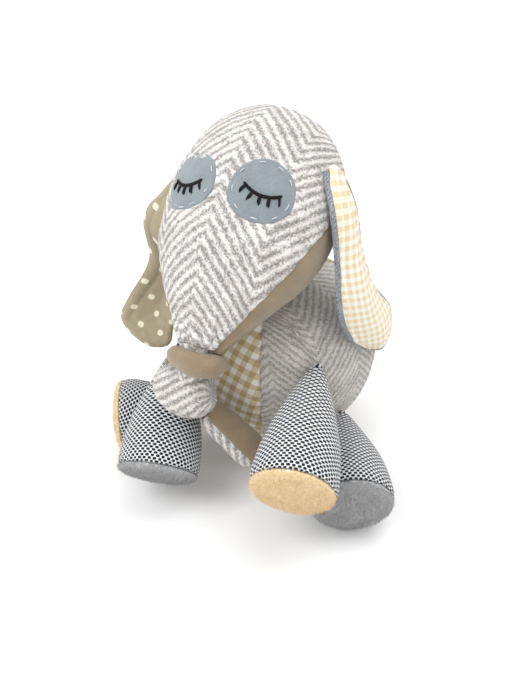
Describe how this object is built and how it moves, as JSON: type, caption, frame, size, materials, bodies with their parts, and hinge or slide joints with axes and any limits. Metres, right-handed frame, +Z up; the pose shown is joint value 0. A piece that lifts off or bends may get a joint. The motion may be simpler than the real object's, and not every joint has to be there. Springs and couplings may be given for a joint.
{
  "type": "stuffed elephant",
  "caption": "Sitting patchwork stuffed elephant with sleepy embroidered felt eyes, a knotted trunk, floppy ears and spotted cone limbs with plush pads.",
  "frame": {"origin": "Middle of the flat seat, on the surface that the toy sits on.", "axes": "+Z up, -Y the way the elephant faces, +X its own left."},
  "size_m": [0.2, 0.1807, 0.1975],
  "materials": {
    "tummy_gingham": "beige and white gingham cotton, slightly puckered",
    "side_tweed": "brushed warm grey herringbone wool",
    "back_cotton": "olive cotton with small cream dots",
    "polyester_fill": "loose white polyester fibre",
    "pellet_sack": "plain cotton sack filled with pellets",
    "tag_leather": "smooth blank orange-brown leather",
    "light_thread": "pale twisted sewing thread",
    "dark_floss": "black stranded embroidery floss",
    "face_herringbone": "white and warm grey herringbone wool with soft fuzz",
    "tan_felt": "matt tan wool felt",
    "eye_felt": "matt blue-grey wool felt",
    "ear_check": "small cream and pale yellow checked cotton",
    "blue_tweed": "dark blue-grey flecked tweed",
    "spotted_cotton": "white cotton with small staggered black dots",
    "camel_plush": "short camel plush pile",
    "grey_plush": "short grey plush pile"
  },
  "bodies": {
    "torso": {"tummy_panel": "tummy_gingham", "side_panel_left": "side_tweed", "side_panel_right": "side_tweed", "back_panel": "back_cotton", "seat_disc": "side_tweed", "torso_stuffing": "polyester_fill", "pellet_bag": "pellet_sack", "leather_tag": "tag_leather"},
    "neck": {"neck_stitches": "light_thread"},
    "head": {"face_panel": "face_herringbone", "under_panel": "tan_felt", "head_stuffing": "polyester_fill", "eye_patch_left": "eye_felt", "eye_patch_right": "eye_felt", "eye_stitches_left": "light_thread", "eye_stitches_right": "light_thread", "eyelashes_left": "dark_floss", "eyelashes_right": "dark_floss"},
    "left_ear": {"ear_left_outside": "ear_check", "ear_left_inside": "blue_tweed"},
    "right_ear": {"ear_right_outside": "ear_check", "ear_right_inside": "back_cotton"},
    "trunk": {"trunk_band": "tan_felt", "trunk_knot": "face_herringbone", "trunk_roll": "tan_felt"},
    "trunk_end": {"trunk_tip_face": "face_herringbone", "trunk_tip_lining": "tan_felt"},
    "arm_left_root": {"arm_left_tab": "spotted_cotton"},
    "arm_left_cone": {"arm_left_sleeve": "spotted_cotton", "arm_left_pad": "camel_plush", "arm_left_stuffing": "polyester_fill"},
    "arm_right_root": {"arm_right_tab": "spotted_cotton"},
    "arm_right_cone": {"arm_right_sleeve": "spotted_cotton", "arm_right_pad": "grey_plush", "arm_right_stuffing": "polyester_fill"},
    "leg_left_root": {"leg_left_tab": "spotted_cotton"},
    "leg_left_cone": {"leg_left_sleeve": "spotted_cotton", "leg_left_pad": "grey_plush", "leg_left_stuffing": "polyester_fill"},
    "leg_right_root": {"leg_right_tab": "spotted_cotton"},
    "leg_right_cone": {"leg_right_sleeve": "spotted_cotton", "leg_right_pad": "camel_plush", "leg_right_stuffing": "polyester_fill"},
    "tail_strip": {"tail": "back_cotton"}
  },
  "joints": [
    {"name": "head_turn", "type": "hinge", "parent": "torso", "child": "neck", "pos_m": [0, 0, 0.1078], "axis": [0, 0, 1], "range_deg": [0, 8]},
    {"name": "head_nod", "type": "hinge", "parent": "neck", "child": "head", "pos_m": [0, 0, 0.1078], "axis": [-1, 0, 0], "range_deg": [0, 10]},
    {"name": "left_ear_flap", "type": "hinge", "parent": "head", "child": "left_ear", "pos_m": [0.039, -0.016, 0.17752], "axis": [0, -1, 0], "range_deg": [0, 30]},
    {"name": "right_ear_flap", "type": "hinge", "parent": "head", "child": "right_ear", "pos_m": [-0.045, -0.009, 0.15748], "axis": [0, 1, 0], "range_deg": [-1, 25]},
    {"name": "trunk_swing", "type": "hinge", "parent": "head", "child": "trunk", "pos_m": [0, -0.07972, 0.10076], "axis": [0, -1, 0], "range_deg": [-4, 10]},
    {"name": "trunk_end_bend", "type": "hinge", "parent": "trunk", "child": "trunk_end", "pos_m": [0.0015, -0.07672, 0.05896], "axis": [0, 0.9429, 0.333], "range_deg": [-8, 20]},
    {"name": "arm_left_lift", "type": "hinge", "parent": "torso", "child": "arm_left_root", "pos_m": [0.04402, -0.03632, 0.076], "axis": [-0.9588, -0.284, 0], "range_deg": [0, 40]},
    {"name": "arm_left_spread", "type": "hinge", "parent": "arm_left_root", "child": "arm_left_cone", "pos_m": [0.04402, -0.03632, 0.076], "axis": [0, 0, 1], "range_deg": [-12, 1]},
    {"name": "arm_right_lift", "type": "hinge", "parent": "torso", "child": "arm_right_root", "pos_m": [-0.0353, -0.04605, 0.07054], "axis": [-0.9483, -0.3173, 0], "range_deg": [0, 2]},
    {"name": "arm_right_spread", "type": "hinge", "parent": "arm_right_root", "child": "arm_right_cone", "pos_m": [-0.0353, -0.04605, 0.07054], "axis": [0, 0, -1], "range_deg": [-1, 15]},
    {"name": "leg_left_lift", "type": "hinge", "parent": "torso", "child": "leg_left_root", "pos_m": [0.05165, -0.01848, 0.03659], "axis": [-0.3696, -0.4468, 0.8147], "range_deg": [0, 25]},
    {"name": "leg_left_spread", "type": "hinge", "parent": "leg_left_root", "child": "leg_left_cone", "pos_m": [0.05165, -0.01848, 0.03659], "axis": [0, 0, 1], "range_deg": [0, 20]},
    {"name": "leg_right_lift", "type": "hinge", "parent": "torso", "child": "leg_right_root", "pos_m": [-0.02462, -0.04192, 0.02642], "axis": [-0.4848, 0.8746, 0], "range_deg": [0, 20]},
    {"name": "leg_right_spread", "type": "hinge", "parent": "leg_right_root", "child": "leg_right_cone", "pos_m": [-0.02462, -0.04192, 0.02642], "axis": [0, 0, -1], "range_deg": [-8, 20]},
    {"name": "tail_swing", "type": "hinge", "parent": "torso", "child": "tail_strip", "pos_m": [0, 0.05445, 0.03542], "axis": [0, -1, 0], "range_deg": [-25, 25]}
  ]
}
